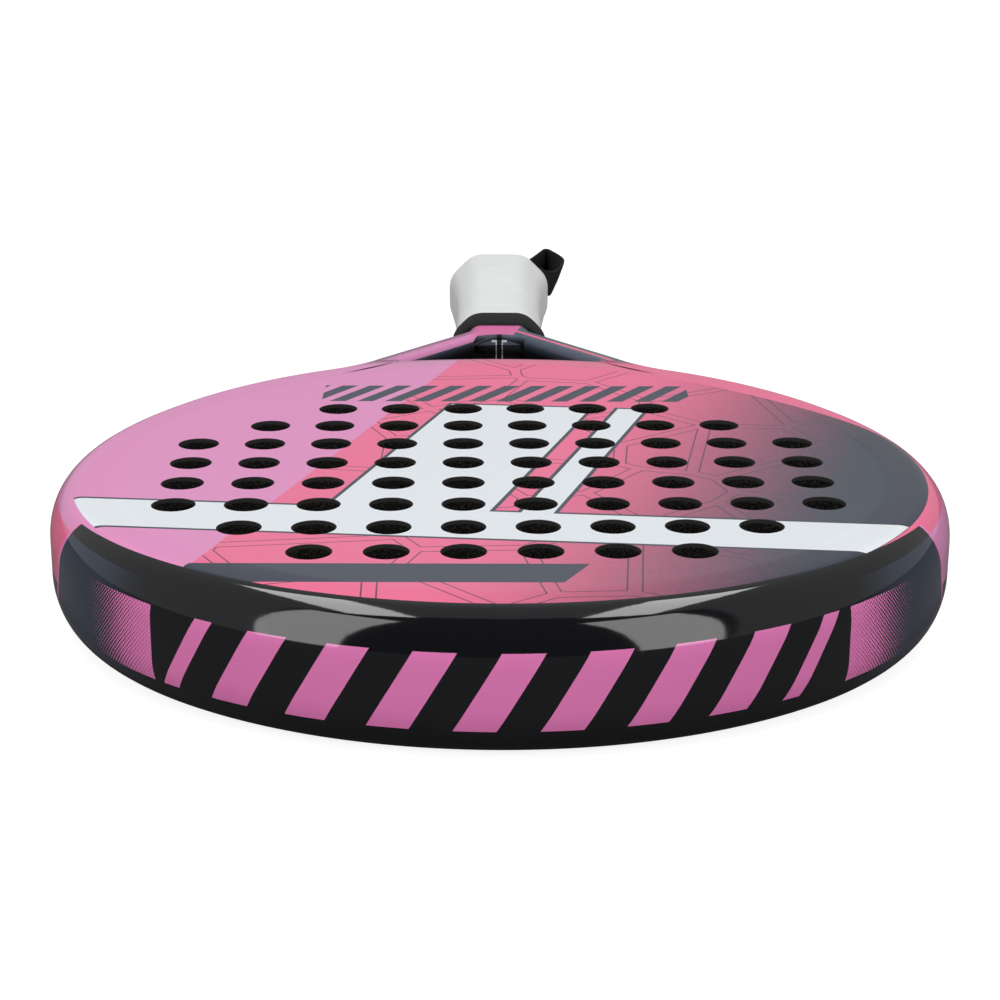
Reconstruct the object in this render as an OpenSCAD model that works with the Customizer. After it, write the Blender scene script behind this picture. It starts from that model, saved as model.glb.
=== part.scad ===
// Padel racket: a hollow composite frame, a foam core between two drilled face sheets,
// a wrapped handle with its butt cap, and a wrist strap with its sliding keeper.
// Millimetres. The racket lies on its back face: X across it, Y from tip to handle, Z up.

/* [Head] */
// Length from the tip of the head to the end of the butt cap
racket_length = 450; // [440:1:465]
// Width of the head at its widest
head_width = 260; // [250:1:266]
// Distance from the tip to the widest part of the head
tip_depth = 123.5; // [119:0.5:128]
// Distance from the widest part to where the head's oval would close
heel_depth = 137.5; // [134:0.5:142]
// Thickness of the frame, which is that of the whole head
thickness = 38; // [34:0.5:40]

/* [Frame tube] */
// Width of the frame tube, across the face
tube_w = 13.5; // [12:0.25:15]
// Wall of the frame tube and of the bridge
tube_wall = 1.6; // [1.2:0.1:2.2]
// Rounding of the rim, measured across the face
rim_round_w = 7; // [4:0.5:8]
// Rounding of the rim, measured down its side
rim_round_h = 14; // [8:0.5:16]
// Rounding of the inner edges of the arms and the bridge
inner_round = 3; // [2:0.5:4]
// Length of the oval's last arc on each side, up to where the arm leaves it
heel_run = 17; // [12:0.5:22]
// Radius of the hollow curve between the head and an arm
neck_r = 46; // [30:1:60]
// Radius of the curve between an arm and its stem in the handle
bend_r = 14; // [10:1:24]

/* [Throat] */
// Distance from the widest part of the head to the throat's edge
throat_depth = 133.5; // [130:0.5:136]
// Distance from the throat's edge to the front of the collar
throat_length = 56; // [52:0.5:62]
// Thickness of the arms at their shoulder, where the collar begins
shoulder_t = 34.8; // [32:0.2:37]
// Radius of the throat's edge
bridge_r = 164; // [150:1:185]
// Length of the solid yoke where the arms come together
yoke_length = 17; // [12:0.5:21]
// Width of the slit in the yoke's front
slit_w = 1.8; // [1.2:0.2:4]
// Depth of that slit
slit_depth = 7; // [4:0.5:10]
// Least thickness of the yoke above and below the slit
slit_roof = 2; // [1:0.5:4]

/* [Faces] */
// Thickness of each face sheet
sheet_t = 1.2; // [0.8:0.1:2]
// Diameter of the holes
hole_d = 12; // [10:0.5:13]
// Distance between neighbouring holes
hole_pitch = 20; // [18:0.25:20.5]
// Distance from the widest part of the head to the middle of the holes, towards the tip
hole_shift = 5.5; // [0:0.5:8]
// Distance from the middle of the head to the middle of the holes, across the face
hole_side = -0.7; // [-2:0.1:2]
// Angle by which the rows of holes are turned on the face
hole_turn = 0.9; // [-1.5:0.1:1.5]

/* [Handle] */
// Thickness of the bare stems in the handle
stem_t = 28; // [26:0.5:30]
// Gap between the two stems
stem_gap = 1.4; // [1:0.1:3]
// Bevel of the bare handle's eight-sided section
handle_bevel = 7.5; // [5:0.5:9]
// Thickness of the cushioned base grip
base_grip_t = 1.7; // [0.8:0.1:2]
// Thickness of the overgrip
overgrip_t = 0.8; // [0.4:0.1:1]
// Width of the finished handle at the butt end
butt_w = 43.4; // [41:0.2:46]
// Thickness of the finished handle at the butt end
butt_t = 36.6; // [35.6:0.2:37.6]
// Bevel of the finished handle's section at the butt end
butt_bevel = 12; // [9:0.5:13]
// Length of the rubber collar
collar_length = 19; // [16:1:26]
// Wall of the rubber collar
collar_t = 0.9; // [0.7:0.1:1.5]
// Width of the finishing tape under the collar
tape_w = 12; // [8:1:14]
// Thickness of the finishing tape
tape_t = 0.2; // [0.1:0.05:0.3]

/* [Butt cap] */
// Length of the butt cap
cap_length = 30; // [26:1:34]
// Wall of the cap's skirt around the stems
cap_skirt = 1.8; // [1.5:0.1:2.4]
// Thickness of the cap's end wall
cap_end = 6; // [4:0.5:8]
// Depth of the room behind the end wall that holds the strap's anchor
anchor_room = 10; // [8:0.5:12]
// Width of that room, up and across
anchor_w = 20; // [18:0.5:21]
// Length of the foam plug in the end of each stem
plug_length = 26; // [20:1:32]
// Length of a staple's crown
staple_crown = 8; // [6:0.5:9]
// Length of a staple's legs
staple_leg = 7; // [5:0.5:8]
// Diameter of the staple wire
staple_wire = 1; // [0.8:0.1:1.2]

/* [Strap] */
// Width of the strap's webbing
strap_w = 12; // [8:0.5:13]
// Thickness of the strap's webbing
strap_t = 1.6; // [1.2:0.1:1.8]
// Length of the sliding keeper along the strap
keeper_length = 9; // [7:0.5:11]
// Wall of the sliding keeper
keeper_wall = 1.8; // [1.2:0.1:2.2]

/* [Clearances] */
// Gap that holds the glue between bonded pieces
bond = 0.1; // [0.05:0.05:0.2]
// Free gap around the strap in the butt cap and the keeper
strap_play = 0.5; // [0.3:0.1:0.7]
// Free gap around a staple leg, a plug or the anchor
loose = 0.15; // [0.1:0.05:0.25]

/* [Hidden] */
$fn = 180;
over = 1;
splice_lap = 0.5;
splice_step = 0.05;
arc_steps = 20;
corner_steps = 6;
ease_steps = 2;

// Places along the racket
tip_y = -racket_length / 2;
butt_y = racket_length / 2;
widest_y = tip_y + tip_depth;
throat_y = widest_y + throat_depth;
holes_y = widest_y - hole_shift;
collar_y = throat_y + throat_length;
mid_z = thickness / 2;

// Holes in each row, from the handle's side to the tip
hole_rows = [6, 8, 10, 10, 10, 10, 8, 6];

// Arcs of the head's oval: tip, side, flank and heel, each meeting the next without a corner
half_w = head_width / 2;
tip_r = half_w * half_w / tip_depth;
tip_c = [0, tip_y + tip_r];
side_r = tip_depth * (half_w + tip_depth) / (2 * half_w);
side_c = [half_w - side_r, widest_y];
flank_r = heel_depth * (half_w + heel_depth) / (2 * half_w);
flank_c = [half_w - flank_r, widest_y];
heel_r = half_w * half_w / heel_depth;
heel_c = [0, widest_y + heel_depth - heel_r];
tip_turn = meeting_angle(tip_c, tip_r, side_c, side_r);
heel_turn = meeting_angle(heel_c, heel_r, flank_c, flank_r);

// Arms: straight outer edges that touch both the neck's hollow curve and the bend into the handle
heel_end = heel_turn + heel_run / heel_r * 180 / PI;
neck_c = heel_c + (heel_r + neck_r) * direction(heel_end);
stem_half = tube_w + stem_gap / 2;
shoulder_y = collar_y - bond;
bend_y = shoulder_y - splice_lap;
bend_c = [stem_half + bend_r, bend_y];
neck_to_bend = bend_c - neck_c;
arm_lean = atan2(neck_to_bend[1], neck_to_bend[0]) - acos((bend_r - neck_r) / norm(neck_to_bend));
arm_out = direction(arm_lean);
arm_start = neck_c - neck_r * arm_out;
arm_end = bend_c - bend_r * arm_out;
shoulder_drop = (thickness - shoulder_t) / 2;
bridge_c = [0, throat_y - bridge_r];

// Handle: the wraps lie on the bare stems and on the flared butt cap
cap_y = butt_y - cap_length;
end_wall_y = butt_y - cap_end;
stem_end_y = end_wall_y - anchor_room;
grip_inset = 4;
grip_y = collar_y + grip_inset;
cap_lip = 2;
grip_end_y = butt_y - cap_lip;
wraps_t = base_grip_t + overgrip_t + 2 * bond;
bevel_growth = 2 - sqrt(2);
corner_ease = 2;
cap_step = bond + cap_skirt;
ramp_length = 6;
flare_stations = [0, 0.35, 0.7, 1];
bare_section = [stem_half, stem_t / 2, handle_bevel];
cap_front_section = grown(bare_section, cap_step);
cap_end_section = grown([butt_w / 2, butt_t / 2, butt_bevel], -wraps_t);

// Strap: two straight legs leave the cap, pass the keeper, sink and open into a loop on the floor.
// Each point is [across, past the butt end, height of the webbing's lower edge above the floor].
anchor_gap = 2;
anchor_face_y = end_wall_y - anchor_gap;
leg_offset = 1.3;
leg_right_start = on_floor([3, 11, 12.5]);
leg_right_end = on_floor([16, 53.5, 8.6]);
leg_left_start = on_floor([-1.3, 12.2, 12.5]);
leg_left_end = on_floor([11.7, 54.7, 8.6]);
leg_fractions = [0, 0.1, 0.9, 1];
strap_loop = [
    [17.8, 59.2, 7], [20, 65.5, 4.9], [22.6, 72.5, 2.6], [25.2, 80.3, 0.8], [26.6, 87.5, 0.1], [27.9, 95, 0],
    [29, 102.5, 0], [29.9, 109.5, 0], [30.2, 115, 0], [29.6, 120.5, 0], [28.5, 126, 0], [27.3, 131.2, 0],
    [26.2, 135.5, 0], [25.6, 138.2, 0], [25.1, 139.6, 0], [24.2, 140.3, 0], [23.3, 139.8, 0], [22.8, 138.4, 0],
    [21.6, 134, 0], [19.8, 127.5, 0], [18, 121, 0], [16.6, 115, 0.3], [15.7, 108, 1], [15.2, 100, 2],
    [15, 91, 3.4], [15.1, 82, 4.9], [15, 73, 6.4], [14.2, 64.5, 7.6]
];
strap_route = concat(
    [[leg_offset, anchor_face_y, mid_z], [leg_offset, butt_y, mid_z], on_floor([1.7, 6, 12.9])],
    stretch(leg_right_start, leg_right_end, leg_fractions),
    [for (p = strap_loop) on_floor(p)],
    stretch(leg_left_end, leg_left_start, leg_fractions),
    [on_floor([-1.6, 6.5, 12.9]), [-leg_offset, butt_y, mid_z], [-leg_offset, anchor_face_y, mid_z]]
);
leg_start = (leg_right_start + leg_left_start) / 2;
leg_end = (leg_right_end + leg_left_end) / 2;
leg_run = leg_end - leg_start;
leg_yaw = atan2(leg_run[0], leg_run[1]);
leg_dip = asin(-leg_run[2] / norm(leg_run));
leg_apart = abs(direction(-leg_yaw) * [leg_right_start[0] - leg_left_start[0],
                                       leg_right_start[1] - leg_left_start[1]]);
keeper_place = 0.8;
keeper_c = leg_start + keeper_place * leg_run;
slot_w = leg_apart + strap_t + 2 * strap_play;
slot_h = strap_w + 2 * strap_play;

// Plain geometry helpers
function direction(angle) = [cos(angle), sin(angle)];
function meeting_angle(c1, r1, c2, r2) =
    r1 > r2 ? atan2(c2[1] - c1[1], c2[0] - c1[0]) : atan2(c1[1] - c2[1], c1[0] - c2[0]);
function arc(c, rx, ry, from, to, steps) =
    [for (i = [0:steps]) let (a = from + (to - from) * i / steps) [c[0] + rx * cos(a), c[1] + ry * sin(a)]];
function mirrored(points) = [for (i = [len(points) - 1:-1:0]) [-points[i][0], points[i][1]]];
function on_floor(p) = p + [0, butt_y, strap_w / 2];
function stretch(from, to, fractions) = [for (f = fractions) from + f * (to - from)];
function unit(v) = v / norm(v);
function mix(a, b, f) = a + f * (b - a);

// Section of the frame tube: x runs in from the outer edge, y up; inset shrinks it on every side
function tube_section(width, inset, inner) =
    let (
        rw = rim_round_w - inset,
        rh = rim_round_h - inset,
        ri = max(inner - inset, 0),
        x0 = inset,
        x1 = width - inset,
        z0 = inset,
        z1 = thickness - inset
    )
    concat(
        arc([x0 + rw, z0 + rh], rw, rh, 180, 270, corner_steps),
        ri > 0 ? arc([x1 - ri, z0 + ri], ri, ri, 270, 360, corner_steps) : [[x1, z0]],
        ri > 0 ? arc([x1 - ri, z1 - ri], ri, ri, 0, 90, corner_steps) : [[x1, z1]],
        arc([x0 + rw, z1 - rh], rw, rh, 90, 180, corner_steps)
    );

// Section of the bridge: x runs in from the throat's edge
function bridge_section(inset) =
    let (ri = max(inner_round - inset, 0.2), x1 = tube_w - inset, z1 = thickness - inset)
    concat(
        arc([inset + ri, inset + ri], ri, ri, 180, 270, corner_steps),
        [[x1, inset], [x1, z1]],
        arc([inset + ri, z1 - ri], ri, ri, 90, 180, corner_steps)
    );

// Outline that runs inside the frame at a given depth from its outer edge, from the tip to the stems
function inside_outline(depth) =
    let (right = concat(
        arc(tip_c, tip_r - depth, tip_r - depth, -90, tip_turn, arc_steps),
        arc(side_c, side_r - depth, side_r - depth, tip_turn, 0, arc_steps),
        arc(flank_c, flank_r - depth, flank_r - depth, 0, heel_turn, arc_steps),
        arc(heel_c, heel_r - depth, heel_r - depth, heel_turn, heel_end, arc_steps),
        arc(neck_c, neck_r + depth, neck_r + depth, heel_end + 180, arm_lean + 180, arc_steps),
        arc(bend_c, bend_r + depth, bend_r + depth, arm_lean + 180, 180, arc_steps)
    ))
    concat(right, mirrored(right));

// Eight-sided handle section [half width, half thickness, bevel], grown evenly outwards
function grown(section, by) = [section[0] + by, section[1] + by, section[2] + by * bevel_growth];
function octagon(s) = [
    [s[0], s[2] - s[1]], [s[0], s[1] - s[2]], [s[0] - s[2], s[1]], [s[2] - s[0], s[1]],
    [-s[0], s[1] - s[2]], [-s[0], s[2] - s[1]], [s[2] - s[0], -s[1]], [s[0] - s[2], -s[1]]
];
function eased(points, by) = [
    for (i = [0:len(points) - 1])
        let (
            corner = points[i],
            before = corner + by * unit(points[(i + len(points) - 1) % len(points)] - corner),
            after = corner + by * unit(points[(i + 1) % len(points)] - corner)
        )
        for (k = [0:ease_steps])
            let (f = k / ease_steps) mix(mix(before, corner, f), mix(corner, after, f), f)
];
function handle_ring(y, section) = [for (p = eased(octagon(section), corner_ease)) [p[0], y, mid_z + p[1]]];
function flare_section(f) = mix(cap_front_section, cap_end_section, f * f);
function flare_rings(grow, last_y) =
    [for (f = flare_stations) handle_ring(mix(cap_y, last_y, f), grown(flare_section(f), grow))];
function wrap_rings(grow, first_y, last_y) = concat(
    [handle_ring(first_y, grown(bare_section, grow)), handle_ring(cap_y - ramp_length, grown(bare_section, grow))],
    flare_rings(grow, last_y)
);

// Rings of the strap's webbing, which stands on its edge along the route
function webbing_ring(i) =
    let (
        last = len(strap_route) - 1,
        along = unit(strap_route[min(i + 1, last)] - strap_route[max(i - 1, 0)]),
        side = unit(cross(along, [0, 0, 1])),
        up = cross(side, along),
        t = strap_t / 2,
        w = strap_w / 2,
        edge = t / 2
    )
    [for (p = [[t, edge - w], [t, w - edge], [edge, w], [-edge, w],
               [-t, w - edge], [-t, edge - w], [-edge, -w], [edge, -w]])
        strap_route[i] + p[0] * side + p[1] * up];

// Solid through a list of closed rings
module loft(rings) {
    n = len(rings[0]);
    last = len(rings) - 1;
    polyhedron(
        points = [for (r = rings) each r],
        faces = concat(
            [[for (k = [n - 1:-1:0]) k]],
            [for (i = [0:last - 1], k = [0:n - 1], half = [0, 1])
                let (a = i * n + k, b = i * n + (k + 1) % n)
                half == 0 ? [a, b, b + n] : [a, b + n, a + n]],
            [[for (k = [0:n - 1]) last * n + k]]
        )
    );
}

// Tube section carried round an arc; convex where the arc's centre lies on the inner side
module along_arc(c, r, from, to, convex) {
    translate([c[0], c[1], 0])
        rotate([0, 0, from])
            rotate_extrude(angle = to - from)
                translate([r, 0])
                    mirror([convex ? 1 : 0, 0])
                        children();
}

// Angle by which a length of tube of this radius laps over its neighbour
function lap(r) = splice_lap / r * 180 / PI;

// One half of the frame's outside or of its cavity, from the tip to the bend. The lengths of
// tube lap, and every second one is a hair slimmer, so that no two skins lie in one place.
module half_sweep(inset) {
    full = tube_section(tube_w, inset, 0);
    slim = tube_section(tube_w, inset + splice_step, 0);
    along_arc(tip_c, tip_r, -90, tip_turn + lap(tip_r), true) polygon(full);
    along_arc(side_c, side_r, tip_turn, 0, true) polygon(slim);
    along_arc(flank_c, flank_r, -lap(flank_r), heel_turn + lap(flank_r), true) polygon(full);
    along_arc(heel_c, heel_r, heel_turn, heel_end, true) polygon(slim);
    along_arc(neck_c, neck_r, arm_lean + 180 - lap(neck_r), heel_end + 180 + lap(neck_r), false) polygon(full);
    translate([arm_start[0], arm_start[1], 0])
        rotate([90, 0, arm_lean + 180])
            linear_extrude(norm(arm_end - arm_start))
                polygon(tube_section(tube_w, inset + splice_step, inner_round));
    along_arc(bend_c, bend_r, 180 - 2 * lap(bend_r), arm_lean + 180 + lap(bend_r), false)
        polygon(tube_section(tube_w, inset, inner_round));
}

// Wedges that thin the arms from the head's thickness to the shoulder's, and end them there
module arm_taper(inset) {
    end_y = shoulder_y - inset;
    for (top = [0, 1])
        translate([0, 0, top * thickness])
            mirror([0, 0, top])
                rotate([90, 0, 90])
                    linear_extrude(head_width, center = true)
                        polygon([
                            [throat_y, inset], [end_y, shoulder_drop + inset], [end_y, mid_z + over],
                            [butt_y, mid_z + over], [butt_y, -over], [throat_y, -over]
                        ]);
}

// Bare section of the handle with its corners eased
module handle_shape(section) {
    polygon(eased(octagon(section), corner_ease));
}

// Half of the handle's bare section, which is one stem
module stem_shape(inset) {
    intersection() {
        handle_shape(grown(bare_section, -inset));
        translate([stem_gap / 2 + inset, -stem_t / 2]) square([stem_half, stem_t]);
    }
}

// A flat shape in X and Z carried along Y
module along_handle(from, to) {
    translate([0, to, mid_z])
        rotate([90, 0, 0])
            linear_extrude(to - from)
                children();
}

module frame_half(inset, stem_end) {
    difference() {
        half_sweep(inset);
        arm_taper(inset);
    }
    along_handle(bend_y - inset, stem_end) stem_shape(inset + splice_step);
}

module both_sides() {
    children();
    mirror([1, 0, 0]) children();
}

// Legs and crown of the staple on the right side of the cap
module staple(grow) {
    wire = staple_wire + 2 * grow;
    x = stem_half + cap_step - staple_wire / 2;
    y = mix(cap_y, stem_end_y, 0.5);
    for (s = [-1, 1])
        translate([x - staple_leg - grow, y + s * (staple_crown - staple_wire) / 2, mid_z])
            rotate([0, 90, 0])
                cylinder(d = wire, h = staple_leg + grow);
    translate([x, y + staple_crown / 2 + grow, mid_z])
        rotate([90, 0, 0])
            cylinder(d = wire, h = staple_crown + 2 * grow);
}

module frame_tube() {
    color([0.16, 0.17, 0.19])
        difference() {
            both_sides() frame_half(0, stem_end_y);
            both_sides() frame_half(tube_wall, stem_end_y + over);
            both_sides() staple(loose);
        }
}

// Inside of the frame in plan, up to the stems
module inside_shape(extra) {
    polygon(inside_outline(tube_w + extra));
}

module bridge_sweep(inset) {
    along_arc(bridge_c, bridge_r, 0, 180, true)
        polygon(bridge_section(inset));
}

module throat_bridge() {
    color([0.85, 0.5, 0.62])
        intersection() {
            difference() {
                bridge_sweep(0);
                bridge_sweep(tube_wall);
            }
            translate([0, 0, -over]) linear_extrude(thickness + 2 * over) inside_shape(bond);
        }
}

module throat_yoke() {
    color([0.78, 0.35, 0.6])
        difference() {
            linear_extrude(thickness)
                intersection() {
                    inside_shape(bond);
                    translate([-tube_w, bend_y - yoke_length]) square([2 * tube_w, yoke_length - over]);
                }
            translate([-slit_w / 2, bend_y - yoke_length - over, shoulder_drop + slit_roof])
                cube([slit_w, slit_depth + over, shoulder_t - 2 * slit_roof]);
            arm_taper(0);
        }
}

// Drilled shape of the core and the face sheets
module drilled_shape() {
    difference() {
        intersection() {
            inside_shape(bond);
            translate(bridge_c) circle(r = bridge_r - tube_w - bond);
        }
        translate([hole_side, holes_y])
            rotate(hole_turn)
                for (row = [0:len(hole_rows) - 1], i = [0:hole_rows[row] - 1])
                    translate([
                        hole_pitch * (i - (hole_rows[row] - 1) / 2),
                        hole_pitch * ((len(hole_rows) - 1) / 2 - row)
                    ])
                        circle(d = hole_d, $fn = 48);
    }
}

module foam_core() {
    color([0.12, 0.12, 0.13])
        translate([0, 0, sheet_t])
            linear_extrude(thickness - 2 * sheet_t)
                drilled_shape();
}

module face_sheet_front() {
    color([0.94, 0.49, 0.6])
        translate([0, 0, thickness - sheet_t])
            linear_extrude(sheet_t)
                drilled_shape();
}

module face_sheet_back() {
    color([0.87, 0.6, 0.77])
        linear_extrude(sheet_t)
            drilled_shape();
}

module stem_spacer() {
    color([0.3, 0.3, 0.3])
        along_handle(bend_y, stem_end_y)
            square([stem_gap - 2 * bond, stem_t], center = true);
}

module stem_plugs() {
    color([0.75, 0.72, 0.6])
        difference() {
            both_sides()
                along_handle(stem_end_y - plug_length, stem_end_y)
                    stem_shape(tube_wall + loose);
            both_sides() staple(loose);
        }
}

module butt_cap() {
    pocket = grown(bare_section, bond);
    color([0.08, 0.08, 0.09])
        difference() {
            loft(concat(
                flare_rings(0, grip_end_y),
                [handle_ring(butt_y, grown(cap_end_section, -cap_lip))]
            ));
            along_handle(cap_y - over, stem_end_y) handle_shape(pocket);
            along_handle(stem_end_y - over, end_wall_y)
                square(anchor_w, center = true);
            along_handle(end_wall_y - over, butt_y + over)
                square([slot_w + over, slot_h], center = true);
            both_sides() staple(loose);
            both_sides() staple_seat();
        }
}

// Recess that lets a staple's crown lie below the cap's surface
module staple_seat() {
    depth = staple_wire + 2 * loose;
    length = staple_crown + 2 * loose;
    translate([stem_half + cap_step - staple_wire / 2, mix(cap_y, stem_end_y, 0.5) - length / 2, mid_z - depth / 2])
        cube([cap_length, length, depth]);
}

module butt_staples() {
    color([0.7, 0.71, 0.73]) both_sides() staple(0);
}

module base_grip() {
    color([0.2, 0.2, 0.22])
        difference() {
            loft(wrap_rings(bond + base_grip_t, grip_y, grip_end_y));
            loft(concat(
                [handle_ring(grip_y - over, grown(bare_section, bond))],
                wrap_rings(bond, grip_y, grip_end_y),
                [handle_ring(grip_end_y + over, grown(flare_section(1), bond))]
            ));
        }
}

module overgrip() {
    inside = 2 * bond + base_grip_t;
    color([0.95, 0.95, 0.94])
        difference() {
            loft(wrap_rings(inside + overgrip_t, grip_y, grip_end_y));
            loft(concat(
                [handle_ring(grip_y - over, grown(bare_section, inside))],
                wrap_rings(inside, grip_y, grip_end_y),
                [handle_ring(grip_end_y + over, grown(flare_section(1), inside))]
            ));
        }
}

// A band round the wrapped handle, from one place to another
module band(inside, wall, from, to) {
    difference() {
        loft([
            handle_ring(from, grown(bare_section, inside + wall)),
            handle_ring(to, grown(bare_section, inside + wall))
        ]);
        loft([
            handle_ring(from - over, grown(bare_section, inside)),
            handle_ring(to + over, grown(bare_section, inside))
        ]);
    }
}

module finishing_tape() {
    tape_y = grip_y + (collar_length - grip_inset - tape_w) / 2;
    color([0.1, 0.1, 0.11]) band(wraps_t + bond, tape_t, tape_y, tape_y + tape_w);
}

module grip_collar() {
    inside = wraps_t + tape_t + 2 * bond;
    color([0.2, 0.21, 0.22]) {
        band(inside, collar_t, collar_y, collar_y + collar_length);
        band(bond, inside, collar_y, grip_y - bond);
    }
}

module strap_anchor() {
    size = anchor_w - 2 * loose;
    depth = anchor_face_y - stem_end_y - loose;
    color([0.1, 0.1, 0.11])
        translate([-size / 2, anchor_face_y - depth, mid_z - size / 2])
            cube([size, depth, size]);
}

module wrist_strap() {
    color([0.07, 0.07, 0.08])
        loft([for (i = [0:len(strap_route) - 1]) webbing_ring(i)]);
}

module strap_keeper() {
    color([0.14, 0.14, 0.15])
        translate(keeper_c)
            rotate([-leg_dip, 0, -leg_yaw])
                rotate([90, 0, 0])
                    linear_extrude(keeper_length, center = true)
                        difference() {
                            square([slot_w + 2 * keeper_wall, slot_h + 2 * keeper_wall], center = true);
                            square([slot_w, slot_h], center = true);
                        }
}

frame_tube();
throat_bridge();
throat_yoke();
foam_core();
face_sheet_front();
face_sheet_back();
stem_spacer();
stem_plugs();
butt_cap();
butt_staples();
base_grip();
overgrip();
finishing_tape();
grip_collar();
strap_anchor();
wrist_strap();
strap_keeper();
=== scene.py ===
"""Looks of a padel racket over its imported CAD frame: lacquered head, wrapped handle, wrist strap.

Lengths are millimetres in the CAD model's frame. Meshes are scaled to metres as they are made, and the
floor and the lights are given in metres.
"""
from collections import namedtuple
from math import acos, atan2, ceil, cos, floor, pi, radians, sin, sqrt

import bmesh
import bpy
from mathutils import Matrix, Vector
from mathutils.geometry import delaunay_2d_cdt


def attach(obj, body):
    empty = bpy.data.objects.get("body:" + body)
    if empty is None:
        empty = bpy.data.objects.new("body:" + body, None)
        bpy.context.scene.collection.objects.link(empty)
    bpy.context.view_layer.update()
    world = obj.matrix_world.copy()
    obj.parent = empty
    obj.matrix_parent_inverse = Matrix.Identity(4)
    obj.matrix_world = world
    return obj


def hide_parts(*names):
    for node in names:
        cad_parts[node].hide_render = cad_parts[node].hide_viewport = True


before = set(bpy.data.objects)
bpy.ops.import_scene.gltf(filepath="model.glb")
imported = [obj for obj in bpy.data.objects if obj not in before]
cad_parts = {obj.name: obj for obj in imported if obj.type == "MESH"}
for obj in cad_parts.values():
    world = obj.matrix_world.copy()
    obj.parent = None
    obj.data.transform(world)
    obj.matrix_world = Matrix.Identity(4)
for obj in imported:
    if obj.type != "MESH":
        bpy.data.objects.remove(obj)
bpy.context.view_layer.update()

MM = 0.001

# Sizes of the head, as in the CAD model
TIP_Y = -225.0
BUTT_Y = 225.0
HALF_W = 130.0
TIP_DEPTH = 123.5
HEEL_DEPTH = 137.5
HEEL_RUN = 17.0
THICKNESS = 38.0
MID_Z = THICKNESS / 2
TUBE_W = 13.5
RIM_ROUND_W = 7.0
RIM_ROUND_H = 14.0
INNER_ROUND = 3.0
NECK_R = 46.0
BEND_R = 14.0
WIDEST_Y = TIP_Y + TIP_DEPTH

# Sizes of the throat and the faces
THROAT_Y = WIDEST_Y + 133.5
BRIDGE_R = 164.0
YOKE_LENGTH = 17.0
SLIT_W = 1.8
SLIT_DEPTH = 7.0
SHEET_T = 1.2
HOLE_R = 6.0
HOLE_PITCH = 20.0
HOLES_Y = WIDEST_Y - 5.5
HOLES_X = -0.7
HOLES_TURN = radians(0.9)
HOLE_ROWS = (6, 8, 10, 10, 10, 10, 8, 6)

# Sizes of the handle
COLLAR_Y = THROAT_Y + 56.0
COLLAR_LENGTH = 19.0
STEM_T = 28.0
STEM_HALF = TUBE_W + 0.7
SHOULDER_T = 34.8
SHOULDER_Y = COLLAR_Y - 0.1
BEND_Y = SHOULDER_Y - 0.5
STEM_END_Y = BUTT_Y - 16.0
HANDLE_BEVEL = 7.5
WRAPS_T = 2.7
GRIP_Y = COLLAR_Y + 4.0
GRIP_END_Y = BUTT_Y - 2.0
CAP_Y = BUTT_Y - 30.0
FLARE_Y = 150.0
BUTT_SECTION = (21.7, 18.3, 12.0)
COLLAR_STEP = 4.0
CAP_END = 6.0

# Sizes of the strap
STRAP_W = 12.0
STRAP_T = 1.6
STRAP_PLAY = 0.5


# Plan outline of the frame

Station = namedtuple("Station", "point outward")
SAME_PLACE = 0.01


def direction(angle):
    return Vector((cos(angle), sin(angle)))


def meeting_angle(c1, r1, c2, r2):
    """Direction, from both centres, of the point where one arc runs on into another."""
    line = c2 - c1 if r1 > r2 else c1 - c2
    return atan2(line.y, line.x)


def arc_stations(centre, radius, start, end, hollow, step):
    """Stations along an arc; on a hollow one the frame's outer side faces the centre."""
    count = max(2, ceil(radius * abs(end - start) / step))
    stations = []
    for i in range(count + 1):
        ray = direction(start + (end - start) * i / count)
        stations.append(Station(centre + radius * ray, -ray if hollow else ray))
    return stations


# Arcs of the head's oval, and the straight outer edge of an arm

TIP_R = HALF_W ** 2 / TIP_DEPTH
TIP_C = Vector((0, TIP_Y + TIP_R))
SIDE_R = TIP_DEPTH * (HALF_W + TIP_DEPTH) / (2 * HALF_W)
SIDE_C = Vector((HALF_W - SIDE_R, WIDEST_Y))
FLANK_R = HEEL_DEPTH * (HALF_W + HEEL_DEPTH) / (2 * HALF_W)
FLANK_C = Vector((HALF_W - FLANK_R, WIDEST_Y))
HEEL_R = HALF_W ** 2 / HEEL_DEPTH
HEEL_C = Vector((0, WIDEST_Y + HEEL_DEPTH - HEEL_R))
TIP_TURN = meeting_angle(TIP_C, TIP_R, SIDE_C, SIDE_R)
HEEL_TURN = meeting_angle(HEEL_C, HEEL_R, FLANK_C, FLANK_R)
HEEL_END = HEEL_TURN + HEEL_RUN / HEEL_R
NECK_C = HEEL_C + (HEEL_R + NECK_R) * direction(HEEL_END)
BEND_C = Vector((STEM_HALF + BEND_R, BEND_Y))
NECK_TO_BEND = BEND_C - NECK_C
ARM_LEAN = atan2(NECK_TO_BEND.y, NECK_TO_BEND.x) - acos((BEND_R - NECK_R) / NECK_TO_BEND.length)
ARM_OUT = direction(ARM_LEAN)
ARM_START = NECK_C - NECK_R * ARM_OUT
ARM_END = BEND_C - BEND_R * ARM_OUT


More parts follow.
